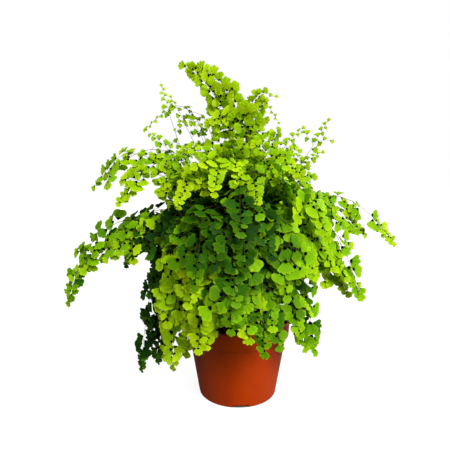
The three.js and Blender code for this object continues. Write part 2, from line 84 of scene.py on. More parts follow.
FRONDS = [
    (3, (-53, -22, 362), 326, 0.9, 60, 0.95, 1.00, {"spread": 0.36, "bulge": (16, 0)}),
    (8, (-88, 30, 350), 232, 0.8, 36, 0.55, 0.85),
    (12, (-102, 12, 300), 250, 0.8, 34, 0.6, 0.85),
    (6, (26, -14, 327), 270, 0.8, 44, 0.9, 0.90, {"spread": 0.28, "bulge": (-24, 0)}),
    (11, (100, 20, 310), 235, 0.8, 38, 0.55, 0.90),
    (16, (98, 44, 276), 242, 0.7, 38, 0.65, 0.85),
    (13, (74, -20, 256), 240, 0.6, 42, 0.8, 0.85, {"spread": 0.8, "end": 0.85}),
    (9, (40, -24, 296), 254, 0.6, 40, 0.8, 0.80, {"spread": 0.7}),
    (15, (-160, 0, 240), 268, 0.6, 42, 0.95, 0.80, {"spread": 0.5, "bulge": (-7, 0)}),
    (18, (-124, -30, 225), 246, 0.6, 42, 0.95, 0.90, {"spread": 0.6}),
    (21, (-190, -18, 112), 202, 0.7, 40, 1.0, 0.55, {"spread": 0.5, "seed": 1}),
    (25, (-105, -42, 46), 198, 0.4, 42, 1.0, 0.08, {"spread": 0.32, "bulge": (18, 0), "seed": 1}),
    (22, (-142, 42, 128), 204, 0.4, 44, 0.9, 0.15, {"spread": 0.5, "bulge": (24, 0), "end": 0.7}),
    (24, (-64, -86, 64), 194, 0.2, 42, 1.1, 0.85, {"end": 0.85}),
    (26, (-36, -108, 98), 188, 0.2, 40, 1.1, 1.00),
    (14, (-57, -68, 226), 256, 0.5, 44, 0.85, 0.87),
    (10, (-22, -80, 240), 268, 0.5, 44, 0.85, 0.85),
    (13, (17, -86, 226), 256, 0.5, 44, 0.85, 0.75),
    (18, (52, -74, 228), 252, 0.5, 44, 0.9, 0.60),
    (17, (-38, -112, 160), 224, 0.2, 46, 1.1, 0.18),
    (19, (6, -118, 178), 226, 0.2, 46, 1.1, 0.20),
    (22, (44, -106, 150), 220, 0.2, 46, 1.2, 0.52),
    (25, (-6, -124, 124), 202, 0.2, 44, 1.2, 0.30),
    (27, (24, -112, 98), 190, 0.2, 42, 1.0, 0.40),
    (26, (82, -52, 64), 190, 0.3, 44, 1.05, 0.38, {"spread": 0.5, "bulge": (-18, 0), "end": 0.8}),
    (21, (131, -36, 122), 214, 0.6, 46, 1.1, 0.65, {"spread": 0.7, "bulge": (-24, 0), "end": 0.85}),
    (17, (172, -4, 178), 227, 0.7, 42, 0.9, 0.80, {"spread": 0.45, "bulge": (-27, 0)}),
    (22, (86, -64, 196), 236, 0.4, 44, 1.1, 0.56),
    (24, (128, 46, 120), 200, 0.4, 44, 1.0, 0.40, {"spread": 0.5, "bulge": (-16, 0)}),
    (15, (52, 88, 226), 256, -0.3, 44, 1.0, 0.70),
    (10, (-26, 80, 252), 270, -0.3, 42, 0.9, 0.80),
    (20, (92, 92, 144), 216, -0.2, 44, 1.0, 0.60),
    (25, (40, 118, 86), 192, -0.2, 44, 1.0, 0.50),
    (18, (0, 128, 160), 226, -0.3, 44, 1.0, 0.60),
    (25, (-46, 112, 80), 194, -0.2, 44, 1.0, 0.45),
    (19, (-86, 94, 150), 220, -0.2, 44, 1.0, 0.50),
    (16, (-80, 62, 226), 254, -0.2, 42, 0.9, 0.65),
]

# Fronds that only the scene has. They fill the bush between those above; those with a light near 0
# are painted dark as shade inside it.
FRONT_FILL = [
    (24, (-28, -104, 100), 192, 0.2, 34, 1.0, 0.84),
    (20, (9, -114, 112), 196, 0.2, 34, 1.15, 0.82, {"bulge": (-14, 0)}),
    (28, (39, -98, 98), 190, 0.2, 34, 1.0, 0.34, {"bulge": (-16, 0)}),
    (16, (-14, -112, 126), 206, 0.2, 38, 1.0, 0.42, {"bulge": (16, 0)}),
    (12, (-2, -122, 148), 214, 0.2, 38, 1.0, 0.34, {"bulge": (-14, 0)}),
    (23, (-49, -90, 108), 198, 0.2, 36, 1.0, 1.00, {"bulge": (20, 0)}),
    (27, (-75, -55, 68), 192, 0.4, 36, 1.0, 0.70),
    (25, (-95, -35, 73), 194, 0.4, 38, 1.0, 0.12),
    (26, (62, -72, 99), 192, 0.2, 38, 1.0, 0.50, {"bulge": (-22, 0)}),
    (18, (117, -25, 128), 208, 0.6, 38, 1.0, 0.70, {"bulge": (-16, -10)}),
    (20, (94, -55, 164), 220, 0.5, 38, 1.0, 0.58, {"bulge": (-16, -10)}),
    (16, (58, -92, 170), 222, 0.4, 40, 1.0, 0.65, {"bulge": (-16, 0)}),
    (12, (29, -108, 186), 232, 0.4, 40, 1.0, 0.22, {"bulge": (-16, 0)}),
    (14, (-20, -116, 179), 228, 0.4, 40, 1.0, 0.04, {"bulge": (16, 0)}),
    (18, (-54, -88, 172), 224, 0.4, 40, 1.0, 0.45, {"bulge": (18, 0)}),
    (20, (-74, -60, 190), 228, 0.4, 38, 1.0, 0.10),
    (24, (-92, -42, 131), 208, 0.4, 38, 1.0, 0.08),
    (8, (2, -114, 208), 244, 0.4, 40, 1.0, 0.24),
    (12, (-82, -25, 239), 258, 0.6, 38, 0.8, 0.88),
    (8, (-37, -60, 251), 264, 0.6, 38, 0.8, 0.90),
    (6, (-1, -70, 250), 268, 0.6, 40, 0.8, 0.86),
    (9, (38, -60, 245), 262, 0.6, 40, 0.85, 0.74),
    (14, (78, -30, 227), 246, 0.5, 40, 0.9, 0.66),
    (17, (107, -12, 208), 232, 0.6, 38, 0.9, 0.61),
    (22, (31, -108, 121), 204, 0.2, 38, 1.0, 0.38),
    (25, (69, -62, 82), 192, 0.3, 38, 1.0, 0.34, {"bulge": (-16, 0)}),
    (26, (-87, -46, 57), 190, 0.4, 38, 1.0, 0.12),
    (20, (74, -70, 158), 216, 0.4, 40, 1.1, 0.60, {"bulge": (-20, 0)}),
    (22, (-44, -100, 139), 210, 0.3, 38, 1.0, 0.84, {"bulge": (20, 0)}),
    (25, (-50, -80, 84), 192, 0.3, 38, 1.05, 0.90, {"spread": 0.8}),
]
SIDE_FILL = [
    (20, (-165, -22, 150), 202, 0.7, 40, 1.1, 0.75, {"spread": 0.5}),
    (19, (-140, -26, 164), 203, 0.7, 40, 1.1, 0.70, {"spread": 0.5}),
    (21, (-117, -30, 166), 206, 0.6, 40, 1.0, 0.08, {"spread": 0.8}),
    (22, (-148, -8, 164), 212, 0.7, 36, 0.9, 0.06, {"spread": 0.6}),
    (14, (-144, 10, 255), 270, 0.6, 32, 0.85, 0.80, {"spread": 0.6, "bulge": (-7, 0)}),
    (19, (110, -44, 150), 214, 0.6, 40, 1.1, 0.63, {"spread": 0.7, "bulge": (-20, 0)}),
    (17, (138, -4, 188), 224, 0.7, 36, 1.0, 0.68, {"spread": 0.7, "bulge": (-18, 0)}),
    (4, (-42, -20, 361), 329, 0.9, 80, 1.15, 1.00, {"spread": 0.14, "bulge": (35, 0)}),
    (5, (-23, -22, 310), 300, 0.8, 46, 1.0, 0.95, {"spread": 0.3, "bulge": (30, 0)}),
    (5, (7, -6, 318), 262, 0.8, 34, 0.8, 0.80, {"spread": 0.6}),
    (10, (53, 10, 289), 246, 0.6, 36, 0.65, 0.85),
    (7, (18, -20, 287), 248, 0.7, 38, 0.8, 0.80),
    (6, (-6, -30, 284), 252, 0.7, 38, 0.8, 0.75),
    (12, (69, 4, 301), 250, 0.8, 36, 0.55, 0.90),
    (10, (59, -6, 279), 250, 0.7, 38, 0.7, 0.90),
    (8, (-57, 10, 323), 252, 0.8, 36, 0.5, 0.85),
    (9, (-75, 16, 336), 246, 0.8, 30, 0.5, 0.85),
    (8, (-61, -20, 277), 262, 0.7, 36, 0.7, 0.90),
    (9, (65, -30, 251), 262, 0.6, 38, 0.8, 0.90),
    (5, (24, -20, 336), 302, 0.8, 40, 0.9, 0.95, {"spread": 0.35, "bulge": (-14, 0)}),
    (21, (-181, -20, 142), 204, 0.7, 34, 0.9, 0.60, {"spread": 0.5}),
    (11, (-104, 12, 302), 314, 0.8, 44, 0.45, 0.90, {"spread": 0.3}),
    (10, (-70, 10, 303), 304, 0.8, 28, 0.5, 0.90, {"spread": 0.3}),
    (5, (42, -10, 308), 320, 0.8, 34, 0.4, 0.90, {"spread": 0.2, "bulge": (-10, 0)}),
]

# Every second one of the first front fill fronds also stands behind the pot's middle.
BEHIND = slice(0, 24, 2)
BEHIND_FACE = -0.3
BEHIND_LIGHT = 0.3         # of one whose frond in front has a light of 0,
LIGHT_KEPT = 0.5           # and how much of that frond's light is added
BACK_FILL = [(root, (-tip[0], -tip[1], tip[2]), mid, BEHIND_FACE, reach, size,
              BEHIND_LIGHT + LIGHT_KEPT * light)
             for root, tip, mid, _, reach, size, light, *_ in FRONT_FILL[BEHIND]]


# ---- materials ----
# Colours are linear. A ramp is a list of places and the colours there.

def rgb(red, green, blue):
    return (red, green, blue, 1.0)


WHITE = rgb(1.0, 1.0, 1.0)
FLOOR_GREY = rgb(0.12, 0.12, 0.12)

# A leaflet's colour by how light it is painted: the dark end is painted shade, the bright end
# painted light.
LEAF_RAMP = [
    (0.0, rgb(0.006, 0.045, 0.001)),
    (0.3, rgb(0.024, 0.150, 0.001)),
    (0.6, rgb(0.185, 0.460, 0.001)),
    (0.85, rgb(0.370, 0.620, 0.001)),
    (1.0, rgb(0.500, 0.700, 0.004)),
]
YELLOWED = rgb(0.400, 0.480, 0.002)
MOTTLED = rgb(0.45, 0.5, 0.4)
VEIN = rgb(0.44, 0.60, 0.01)
# A pale rim that is partly a painted highlight, and the colour of the painted shade at a leaflet's
# neck.
RIM_AND_HIGHLIGHT = rgb(0.50, 0.66, 0.02)
NECK_SHADE_TINT = rgb(0.40, 0.52, 0.30)
GLOW = rgb(0.45, 0.85, 0.005)
VEIN_TURN = 44.0           # radians between a fan's two straight edges, a vein each full turn

# How strongly each of these shows in a leaflet, with the rim partly a painted highlight and the
# neck painted shade, and how much light comes through it.
YELLOWING = 0.25
MOTTLING = 0.35
VEINING = 0.45
PALE_RIM_AND_HIGHLIGHT = 0.6
NECK_SHADE = 0.48
GLOWING = 0.58
SHEER = 0.42

STALK_RAMP = [
    (0.3, rgb(0.010, 0.005, 0.003)),
    (0.6, rgb(0.035, 0.014, 0.006)),
    (0.9, rgb(0.070, 0.030, 0.010)),
]
YOUNG_STALK = rgb(0.11, 0.10, 0.015)

POT_RAMP = [
    (0.25, rgb(0.240, 0.014, 0.001)),
    (0.55, rgb(0.280, 0.019, 0.001)),
    (0.85, rgb(0.320, 0.026, 0.001)),
]
FLOW = rgb(0.38, 0.050, 0.001)
FLOWING = 0.22             # how strongly the streaks of the flow show
POT_GLOSS = rgb(1.0, 0.60, 0.05)

SOIL_RAMP = [
    (0.25, rgb(0.004, 0.003, 0.002)),
    (0.55, rgb(0.018, 0.010, 0.006)),
    (0.75, rgb(0.050, 0.028, 0.015)),
    (0.95, rgb(0.110, 0.070, 0.040)),
]


def new_material(name):
    material = bpy.data.materials.new(name)
    material.use_nodes = True
    tree = material.node_tree
    tree.nodes.clear()
    return material, tree


def fill_socket(tree, socket, value):
    if isinstance(value, bpy.types.NodeSocket):
        tree.links.new(value, socket)
    else:
        socket.default_value = value


def node(tree, kind, inputs=None, **settings):
    made = tree.nodes.new(kind)
    for key, value in settings.items():
        setattr(made, key, value)
    for key, value in (inputs or {}).items():
        fill_socket(tree, made.inputs[key], value)
    return made


def math_node(tree, operation, first, second=0.0, third=0.0):
    made = node(tree, "ShaderNodeMath", {0: first, 1: second, 2: third}, operation=operation)
    return made.outputs[0]


def times(tree, first, second):
    return math_node(tree, "MULTIPLY", first, second)


def mix_colour(tree, factor, first, second, blend="MIX"):
    made = tree.nodes.new("ShaderNodeMix")
    made.data_type = "RGBA"
    made.blend_type = blend
    fill_socket(tree, made.inputs[0], factor)
    fill_socket(tree, made.inputs[6], first)
    fill_socket(tree, made.inputs[7], second)
    return made.outputs[2]


def ramp(tree, factor, stops):
    made = node(tree, "ShaderNodeValToRGB", {"Fac": factor})
    elements = made.color_ramp.elements
    while len(elements) < len(stops):
        elements.new(1.0)
    for element, (place, colour) in zip(elements, stops):
        element.position = place
        element.color = colour
    return made.outputs["Color"]


def span(tree, value, low, high, at_low, at_high):
    """A number from at_low to at_high, as value goes from low to high."""
    made = node(tree, "ShaderNodeMapRange", {0: value, 1: low, 2: high, 3: at_low, 4: at_high})
    return made.outputs[0]


def object_place(tree):
    return node(tree, "ShaderNodeTexCoord").outputs["Object"]


def noise(tree, place, scale, detail):
    made = node(tree, "ShaderNodeTexNoise", {"Vector": place, "Scale": scale, "Detail": detail})
    return made.outputs[0]


def bumps(tree, height, strength, distance):
    made = node(tree, "ShaderNodeBump", {
        "Strength": strength, "Distance": distance, "Height": height})
    return made.outputs[0]


def tints(tree):
    """The three numbers that a mesh holds in its tint colours."""
    tint = node(tree, "ShaderNodeVertexColor", layer_name="tint")
    return node(tree, "ShaderNodeSeparateColor", {0: tint.outputs[0]}).outputs


def show(tree, shader):
    node(tree, "ShaderNodeOutputMaterial", {0: shader.outputs[0]})


def leaf_material():
    """The tints are how light a leaflet is painted, as painted light and shade and partly age, how
    yellow, and where its veins lie.
    """
    material, tree = new_material("fern_leaflet")
    uv = node(tree, "ShaderNodeUVMap", uv_map="leaflet")
    split = node(tree, "ShaderNodeSeparateXYZ", {0: uv.outputs[0]})
    across, outward = split.outputs[0], split.outputs[1]
    light, hue, phase = tints(tree)

    base = ramp(tree, light, LEAF_RAMP)
    yellow = mix_colour(tree, times(tree, times(tree, hue, light), YELLOWING), base, YELLOWED)

    mottle = noise(tree, object_place(tree), scale=420.0, detail=3.0)
    blotches = mix_colour(tree, mottle, MOTTLED, WHITE)
    mottled = mix_colour(tree, MOTTLING, yellow, blotches, "MULTIPLY")

    # Radiating veins: many fine lines that run from the neck to the lobes.
    swing = math_node(tree, "MULTIPLY_ADD", across, VEIN_TURN, times(tree, phase, FULL_TURN))
    line = span(tree, math_node(tree, "SINE", swing), 0.55, 1.0, 0.0, 1.0)
    veins = times(tree, line, span(tree, outward, 0.1, 0.5, 0.3, 1.0))
    veined = mix_colour(tree, times(tree, times(tree, veins, light), VEINING), mottled, VEIN)

    # The rim is paler, and more so on brightly painted leaflets as a painted highlight; painted
    # shade darkens the blade towards its neck, where leaflets overlap.
    rim = span(tree, outward, 0.86, 1.0, 0.0, PALE_RIM_AND_HIGHLIGHT)
    rimmed = mix_colour(tree, times(tree, rim, light), veined, RIM_AND_HIGHLIGHT)
    neck = span(tree, outward, 0.1, 0.85, NECK_SHADE, 0.0)
    colour = mix_colour(tree, neck, rimmed, NECK_SHADE_TINT, "MULTIPLY")

    height = math_node(tree, "MULTIPLY_ADD", mottle, 0.6, veins)
    normal = bumps(tree, height, strength=0.35, distance=0.0003)
    surface = node(tree, "ShaderNodeBsdfPrincipled", {
        "Base Color": colour, "Roughness": 0.55, "Specular IOR Level": 0.06, "Normal": normal})
    through = mix_colour(tree, times(tree, light, GLOWING), colour, GLOW)
    glow = node(tree, "ShaderNodeBsdfTranslucent", {"Color": through, "Normal": normal})
    show(tree, node(tree, "ShaderNodeMixShader", {
        0: SHEER, 1: surface.outputs[0], 2: glow.outputs[0]}))
    return material


def stalk_material():
    """The first tint is how young and green a stalk is."""
    material, tree = new_material("fern_stalk")
    grain = noise(tree, object_place(tree), scale=90.0, detail=4.0)
    colour = mix_colour(tree, tints(tree)[0], ramp(tree, grain, STALK_RAMP), YOUNG_STALK)
    show(tree, node(tree, "ShaderNodeBsdfPrincipled", {
        "Base Color": colour, "Roughness": 0.45, "Specular IOR Level": 0.2,
        "Normal": bumps(tree, grain, strength=0.2, distance=0.0002)}))
    return material


def pot_material():
    """Clouds, the streaks of the moulded plastic's flow, and a fine grain."""
    material, tree = new_material("nursery_plastic")
    place = object_place(tree)
    cloud = noise(tree, place, scale=26.0, detail=5.0)
    grain = noise(tree, place, scale=900.0, detail=2.0)
    stretched = node(tree, "ShaderNodeMapping", {"Vector": place, "Scale": (60.0, 60.0, 6.0)})
    flow = noise(tree, stretched.outputs[0], scale=3.0, detail=6.0)
    colour = mix_colour(tree, times(tree, flow, FLOWING), ramp(tree, cloud, POT_RAMP), FLOW)
    height = math_node(tree, "MULTIPLY_ADD", flow, 0.5, grain)
    show(tree, node(tree, "ShaderNodeBsdfPrincipled", {
        "Base Color": colour, "Roughness": span(tree, cloud, 0.2, 0.8, 0.42, 0.54),
        "Specular IOR Level": 0.5, "Specular Tint": POT_GLOSS,
        "Normal": bumps(tree, height, strength=0.12, distance=0.0004)}))
    return material


def soil_material():
    """Lumps and fibres."""
    material, tree = new_material("potting_soil")
    place = object_place(tree)
    lumps = node(tree, "ShaderNodeTexVoronoi", {"Vector": place, "Scale": 380.0})
    fibre = noise(tree, place, scale=240.0, detail=8.0)
    height = math_node(tree, "ADD", lumps.outputs[0], fibre)
    show(tree, node(tree, "ShaderNodeBsdfPrincipled", {
        "Base Color": ramp(tree, fibre, SOIL_RAMP), "Roughness": 0.95,
        "Specular IOR Level": 0.15,
        "Normal": bumps(tree, height, strength=0.9, distance=0.002)}))
    return material


# ---- meshes ----

SHARP = 65                 # degrees between two faces that meet in a sharp edge
LEAF_SLOT, STALK_SLOT = 0, 1    # of a frond's two materials
SOIL_SLOT = 0
NO_TINT = (0.0, 0.0, 0.0)
UP = np.array([0.0, 0.0, 1.0])
RIGHT = np.array([1.0, 0.0, 0.0])
NEARLY_UP = 0.9            # where up no longer serves to find a stem's sides


class Growth:
    """Points and faces of one piece in the making, in millimetres."""

    def __init__(self):
        self.points = []
        self.faces = []
        self.slots = []
        self.places = []
        self.tints = []
        self.count = 0

    def add(self, points, faces, slot, places, tint):
        """points is N by 3, faces hold indices into them, places is N by 2."""
        start = self.count
        self.points.append(points)
        self.places.append(places)
        self.tints.append(np.tile(tint, (len(points), 1)))
        self.faces.extend(tuple(start + index for index in face) for face in faces)
        self.slots.extend([slot] * len(faces))
        self.count += len(points)

    def to_object(self, name, materials):
        mesh = bpy.data.meshes.new(name)
        points = np.concatenate(self.points) * MM
        mesh.from_pydata(points.tolist(), [], self.faces)
        for material in materials:
            mesh.materials.append(material)
        mesh.polygons.foreach_set("material_index", self.slots)
        mesh.polygons.foreach_set("use_smooth", [True] * len(self.faces))
        corners = np.empty(len(mesh.loops), np.int64)
        mesh.loops.foreach_get("vertex_index", corners)
        layer = mesh.uv_layers.new(name="leaflet")
        layer.data.foreach_set("uv", np.concatenate(self.places)[corners].ravel())
        colours = mesh.color_attributes.new("tint", "FLOAT_COLOR", "POINT")
        values = np.concatenate(self.tints)
        colours.data.foreach_set("color", np.hstack([values, np.ones((len(values), 1))]).ravel())
        mesh.set_sharp_from_angle(angle=math.radians(SHARP))
        return link_object(name, mesh)


def link_object(name, data):
    made = bpy.data.objects.new(name, data)
    bpy.context.scene.collection.objects.link(made)
    return made


def unit(vector):
    return vector / np.linalg.norm(vector)


def clamp(value, low, high):
    return min(max(value, low), high)


def turn(vector, axis, degrees):
    """vector turned about the unit vector axis."""
    angle = math.radians(degrees)
    return (vector * math.cos(angle) + np.cross(axis, vector) * math.sin(angle)
            + axis * np.dot(axis, vector) * (1 - math.cos(angle)))


def square_to(vector, axis):
    """The unit vector nearest to vector that stands square to the unit vector axis."""
    return unit(vector - axis * np.dot(vector, axis))


class Path:
    """A smooth line through the control points of a Bezier curve, measured by length."""

    STEPS = 64

    def __init__(self, *controls):
        share = np.linspace(0.0, 1.0, self.STEPS + 1)[:, None]
        layers = [np.repeat(np.array(c, float)[None, :], self.STEPS + 1, 0) for c in controls]
        while len(layers) > 1:
            layers = [a * (1 - share) + b * share for a, b in zip(layers, layers[1:])]
        self.points = layers[0]
        steps = np.linalg.norm(np.diff(self.points, axis=0), axis=1)
        self.lengths = np.concatenate([[0.0], np.cumsum(steps)])
        self.length = self.lengths[-1]

    def at(self, length):
        return np.array([np.interp(length, self.lengths, self.points[:, axis])
                         for axis in range(3)])

    def heading(self, length):
        half = self.length / self.STEPS
        return unit(self.at(min(length + half, self.length)) - self.at(max(length - half, 0.0)))


def add_tube(growth, path, end, thick, thin, sides, steps, tint):
    """A round, tapering stem along a path as far as end, closed at both ends."""
    points = []
    across = None
    for place in np.linspace(0.0, end, steps + 1):
        heading = path.heading(place)
        if across is None:
            helper = UP if abs(heading[2]) < NEARLY_UP else RIGHT
            across = unit(np.cross(heading, helper))
        across = square_to(across, heading)
        third = np.cross(heading, across)
        radius = thick + (thin - thick) * (place / end)
        centre = path.at(place)
        for side in range(sides):
            angle = 2 * math.pi * side / sides
            points.append(centre + radius * (math.cos(angle) * across + math.sin(angle) * third))
    faces = []
    for step in range(steps):
        for side in range(sides):
            after = (side + 1) % sides
            low, high = step * sides, (step + 1) * sides
            faces.append((low + side, low + after, high + after, high + side))
    faces.append(tuple(reversed(range(sides))))
    faces.append(tuple(range(steps * sides, (steps + 1) * sides)))
    growth.add(np.array(points), faces, STALK_SLOT, np.zeros((len(points), 2)), tint)


# ---- leaflets ----
# A pair of numbers is the range of a draw.

RINGS = (0.55,)            # between a leaflet's neck and its rim
HALF_THICKNESS = 0.012     # in the middle of a leaflet, as a share of its length
CORNER_CUT = 0.24          # how much shorter a fan is at its two straight edges
LOBE_CUT = (0.08, 0.20)    # how deep the cuts between its lobes are
LOBE_STEEP = 1.5           # the more, the narrower they are
LOBE_POWER = 1.3
WAVE = 0.05                # of the whole outer edge
WAVE_TURN = 5.0            # radians of it along the edge
CUP = (-0.16, 0.14)        # height of a leaflet's straight edges above its middle line
DROOP = (0.0, 0.32)        # how far its outer edge hangs,
DROOP_SHARE = 0.6          # times this
RIPPLE = (0.02, 0.09)      # height of the lobes above the cuts between them
RIPPLE_SINK = 0.4          # by which the whole edge sinks with it


class Fan:
    """The flat outline of a leaflet: a wedge with a lobed outer edge. Its length is 1."""

    def __init__(self, low, high, lobes, seed):
        """low and high are the directions of its two straight edges, in degrees."""
        draw = random.Random(seed)
        per_lobe = 6 if lobes == 2 else 4
        count = lobes * per_lobe + 1
        share = np.linspace(0.0, 1.0, count)
        edge = np.ones(count)
        for cut in np.linspace(0.0, 1.0, lobes + 1)[1:-1]:
            near = np.clip(1 - np.abs(share - cut) * lobes * LOBE_STEEP, 0, 1)
            edge -= draw.uniform(*LOBE_CUT) * near ** LOBE_POWER
        from_middle = 2 * share - 1
        edge *= 1 - CORNER_CUT * np.abs(from_middle) ** 3
        edge *= 1 + WAVE * np.sin(share * WAVE_TURN + draw.uniform(0, FULL_TURN))
        angles = np.radians(low + (high - low) * share)
        outline = np.stack([np.sin(angles) * edge, np.cos(angles) * edge], 1)
        lobing = np.sin(share * lobes * math.pi) ** 2
        rows = [np.zeros((1, 2))]
        outs = [np.zeros(1)]
        acrosses = [np.full(1, 0.5)]
        bulges = [np.zeros(1)]
        for ring in RINGS + (1.0,):
            rows.append(outline * ring)
            outs.append(np.full(count, ring))
            acrosses.append(share)
            bulges.append(lobing * ring ** 2)
        self.flat = np.concatenate(rows)
        self.out = np.concatenate(outs)
        self.bulge = np.concatenate(bulges)
        self.build_faces(count, np.concatenate(acrosses))

    def build_faces(self, count, across):
        """The upper and the lower face share the neck and the rim, and nothing else."""
        rings = len(RINGS)
        total = 1 + count * (rings + 1)
        rim = 1 + count * rings
        lower = np.arange(total)
        lower[1:rim] = total + np.arange(rim - 1)
        faces = []
        for index in range(count - 1):
            faces.append((0, 1 + index + 1, 1 + index))
            for ring in range(rings):
                inner, outer = 1 + ring * count + index, 1 + (ring + 1) * count + index
                faces.append((inner, inner + 1, outer + 1, outer))
        under = [tuple(int(lower[i]) for i in reversed(face)) for face in faces]
        self.faces = faces + under
        self.side = np.concatenate([np.ones(total), -np.ones(rim - 1)])
        self.side[0] = 0.0
        self.side[rim:total] = 0.0
        picked = np.concatenate([np.arange(total), np.arange(1, rim)])
        self.flat, self.out, self.bulge = self.flat[picked], self.out[picked], self.bulge[picked]
        self.places = np.stack([across[picked], self.out], 1)


# Beside a rib a fan has one wider half, and at its end it is even.
SIDE_FANS = [Fan(-38, 52, lobes, seed) for lobes, seed in
             ((2, 1), (3, 2), (3, 3), (3, 4), (4, 5), (4, 6), (2, 7))]
END_FANS = [Fan(-46, 46, lobes, seed) for lobes, seed in ((3, 11), (4, 12), (3, 13), (4, 14))]


def add_leaflet(growth, fan, neck, outward, normal, ahead, length, tint, draw):
    """One leaflet. ahead says on which hand the fan's wider half lies."""
    normal = square_to(normal, outward)
    across = np.cross(outward, normal) * ahead
    x, y = fan.flat[:, 0], fan.flat[:, 1]
    cup = draw.uniform(*CUP)
    droop = draw.uniform(*DROOP)
    ripple = draw.uniform(*RIPPLE)
    height = (cup * x * x - droop * y * y * DROOP_SHARE
              + ripple * (fan.bulge - RIPPLE_SINK * fan.out ** 2))
    height = height + fan.side * HALF_THICKNESS
    points = (neck + length * (x[:, None] * across + y[:, None] * outward
                               + height[:, None] * normal))
    faces = fan.faces if ahead > 0 else [tuple(reversed(face)) for face in fan.faces]
    growth.add(points, faces, LEAF_SLOT, fan.places, tint)


# ---- the course of a stalk, as in the part's source ----

ARCH_PLACE = 0.6           # where on its curve a stalk has the height of its arch
RISE_OUT = 0.1             # the curve's first control point, as shares of the way
RISE_UP = 0.72             # out to the tip and of the way up to the second
BEND_OUT = 0.6             # the second control point's share of the way out,
HANG_OUT = 0.3             # and how much more it has where the tip hangs
HANG_SPAN = 150            # a tip this far below its arch hangs nearly straight down
SLANT_IN = 0.5             # only in the scene: how much nearer the second is at a slant of 1

# How much the heights of the start, the second control point and the tip count there.
BEFORE = 1 - ARCH_PLACE
RISE_WEIGHT = 3 * ARCH_PLACE * BEFORE ** 2
START_WEIGHT = BEFORE ** 3 + RISE_WEIGHT * (1 - RISE_UP)
BEND_WEIGHT = 3 * ARCH_PLACE ** 2 * BEFORE + RISE_WEIGHT * RISE_UP
TIP_WEIGHT = ARCH_PLACE ** 3


def stalk_path(tip, root, mid, slant, bulge):
    """slant is 0 where the stalk's end hangs down, and 1 where it slants most."""
    tip = np.array(tip, float)
    outward = unit(np.array([tip[0], tip[1], 0.0]))
    start = outward * root
    start[2] = SOIL_CROWN - BURIED
    reach = math.hypot(tip[0], tip[1]) - root
    hang = clamp((mid - tip[2]) / HANG_SPAN, 0.0, 1.0)
    bend = start + outward * (BEND_OUT + HANG_OUT * hang) * (1 - SLANT_IN * slant) * reach
    bend[:2] += bulge
    bend[2] = (mid - START_WEIGHT * start[2] - TIP_WEIGHT * tip[2]) / BEND_WEIGHT
    rise = start + outward * RISE_OUT * reach
    rise[2] = start[2] + RISE_UP * (bend[2] - start[2])
    return Path(start, rise, bend, tip)


# ---- fronds ----
# A pair is the range of a draw unless its comment gives it two places, and a SPREAD is
# the deviation of a draw.

SEED_STEP = 1000           # from the draws of one seed to those of the next
STALK_RADII = (0.7, 0.2)   # at the foot and where the end pinna starts
STALK_SIDES = 7
STALK_STEPS = 28
BARE = 0.46                # share of a stalk below its first side pinna
LEAFY = 0.98               # share of it below the last
PINNA_STEP = 10.5          # between two side pinnae along a stalk
PINNA_SHIFT = 0.2          # most that one is out of place, in such steps
FEWEST_PINNAE = 2
PINNA_LENGTH = (0.8, 1.05)
PINNA_TAPER = 0.6          # how much shorter the last side pinna is than the first
TAPER_POWER = 1.3
PINNA_LEAN = 58            # degrees between a side pinna and its stalk
PINNA_LEAN_SPREAD = 6
PINNA_DROOP = (0.2, 0.75)  # how far a pinna sinks per length, on an upright and a level stalk
PINNA_DROOP_SHARE = (0.75, 1.25)
PINNA_BEND = 0.45          # where a side pinna starts to sink, as a share of its length
PINNA_SMALLER = 0.15       # how much smaller the leaflets of the last side pinna are
SHADED = 0.24              # painted shade: how much darker the lowest pinnae, deep in the bush, are than the frond's tip; partly age
FACE_LEAST = 0.15          # how far every frond turns to the front or the back,
FACE_MORE = 0.75           # and how much further where face is 1
FRONT = np.array([0.0, -1.0, 0.25]) / math.hypot(1.0, 0.25)

RIB_TAPER = 0.25           # how much smaller the leaflets are at a rib's end,
END_TAPER = 0.5            # and at a frond's tip
RIB_SIDES = 5
RIB_STEPS, TWIG_STEPS = 8, 4
RIB_RADIUS, TWIG_RADIUS = 0.20, 0.16
RIB_END_RADIUS = 0.11
RIB_TINT = (0.2, 0.0, 0.0)
RIB_LIGHT_SPREAD = 0.07
TWIGS = 2                  # most that branch from one rib
TWIG_CHANCE = 0.35
TWIG_PLACE = 0.4           # share of a rib that has them
TWIG_ROOM = 22             # left of the rib beyond one
TWIG_SHARE = 0.6           # of that room, or else the longest, is a twig's length,
TWIG_LONGEST = 20.0
TWIG_LENGTH = (0.8, 1.1)   # times this
TWIG_DROOP = 0.12
TWIG_TILT = (-12, 12)
TWIG_SIZE = 0.9            # of its leaflets, beside those of the rib

LEAFLET = 15.0             # length of a full-grown leaflet
LEAFLET_LENGTH = (0.85, 1.12)
END_LONGER = 1.15          # the leaflet at a rib's end, beside the others
LEAFLET_STEP = 4.7         # between two leaflets along a rib
STEP_LENGTH = (0.88, 1.12)
FIRST_LEAFLET = 2.5        # from a rib's foot
AIRY = 1.75                # steps shrink with a frond's size down to half this, then widen
LEAFLET_LEAN = 68          # degrees between a rib and its first leaflet,
LEAN_TAPER = 24            # and how much less it is at the rib's end
LEAN_RANGE = (-7, 7)
ROLL_SPREAD = 13           # degrees
PITCH_SPREAD = 10
SAG = (0.1, 0.4)           # how far a level leaflet hangs
PETIOLE = (0.05, 0.10)     # its own little stem, as a share of its length
PETIOLE_RADII = (0.11, 0.09)    # at its foot and in the blade
PETIOLE_SIDES, PETIOLE_STEPS = 3, 1
PETIOLE_INTO = 0.08        # how far that reaches into the blade
PETIOLE_TINT = (0.6, 0.0, 0.0)
LEAFLET_LIGHT_SPREAD = 0.08
